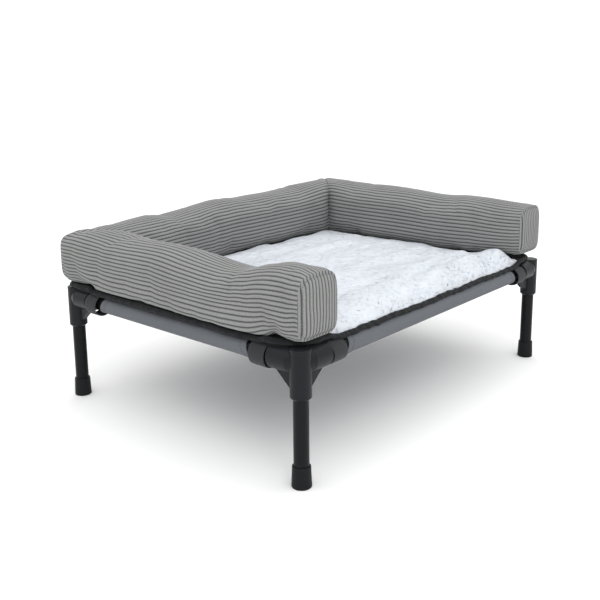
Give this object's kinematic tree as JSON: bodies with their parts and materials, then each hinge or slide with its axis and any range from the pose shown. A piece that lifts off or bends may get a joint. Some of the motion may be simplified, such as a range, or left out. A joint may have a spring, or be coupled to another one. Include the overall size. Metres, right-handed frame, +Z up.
{
  "type": "raised dog bed",
  "caption": "Raised dog bed: a tube frame on legs with moulded corners and a fabric sling, topped by a plush mat with a U-shaped padded bolster.",
  "frame": {"origin": "on the floor under the middle of the bed's bounding box", "axes": "+X along the long side, +Y towards the back bolster and away from the open front side, +Z up"},
  "size_m": [0.65, 0.5, 0.2777],
  "materials": {
    "connector_plastic": "satin charcoal moulded plastic",
    "coated_tube": "satin charcoal powder coat",
    "foot_rubber": "matte dark rubber",
    "sling_weave": "tight slate-grey woven mesh",
    "webbing": "dark ribbed webbing",
    "base_cloth": "dark plain woven cloth",
    "wadding": "white fibre filling",
    "plush": "pale blue-grey short-pile plush",
    "binding_tape": "charcoal woven tape",
    "corduroy": "mid-grey wide-wale corduroy"
  },
  "bodies": {
    "frame": {"connector_front_left": "connector_plastic", "leg_front_left": "coated_tube", "foot_front_left": "foot_rubber", "connector_front_right": "connector_plastic", "leg_front_right": "coated_tube", "foot_front_right": "foot_rubber", "connector_back_right": "connector_plastic", "leg_back_right": "coated_tube", "foot_back_right": "foot_rubber", "connector_back_left": "connector_plastic", "leg_back_left": "coated_tube", "foot_back_left": "foot_rubber", "rail_front": "coated_tube", "rail_right": "coated_tube", "rail_back": "coated_tube", "rail_left": "coated_tube", "sling": "sling_weave", "strap_front_rail_left": "webbing", "strap_front_rail_right": "webbing", "strap_right_rail_front": "webbing", "strap_right_rail_back": "webbing", "strap_back_rail_right": "webbing", "strap_back_rail_left": "webbing", "strap_left_rail_back": "webbing", "strap_left_rail_front": "webbing"},
    "topper": {"mat_base": "base_cloth", "mat_pad": "wadding", "mat_plush": "plush", "mat_binding": "binding_tape", "bolster_cover_left": "corduroy", "bolster_fill_left": "wadding", "bolster_cover_back": "corduroy", "bolster_fill_back": "wadding", "bolster_cover_right": "corduroy", "bolster_fill_right": "wadding", "bolster_end_left": "corduroy", "bolster_end_right": "corduroy"}
  },
  "joints": [
    {"name": "topper_lift", "type": "slide", "parent": "frame", "child": "topper", "axis": [0, 0, 1], "range_m": [0, 0.15]}
  ]
}
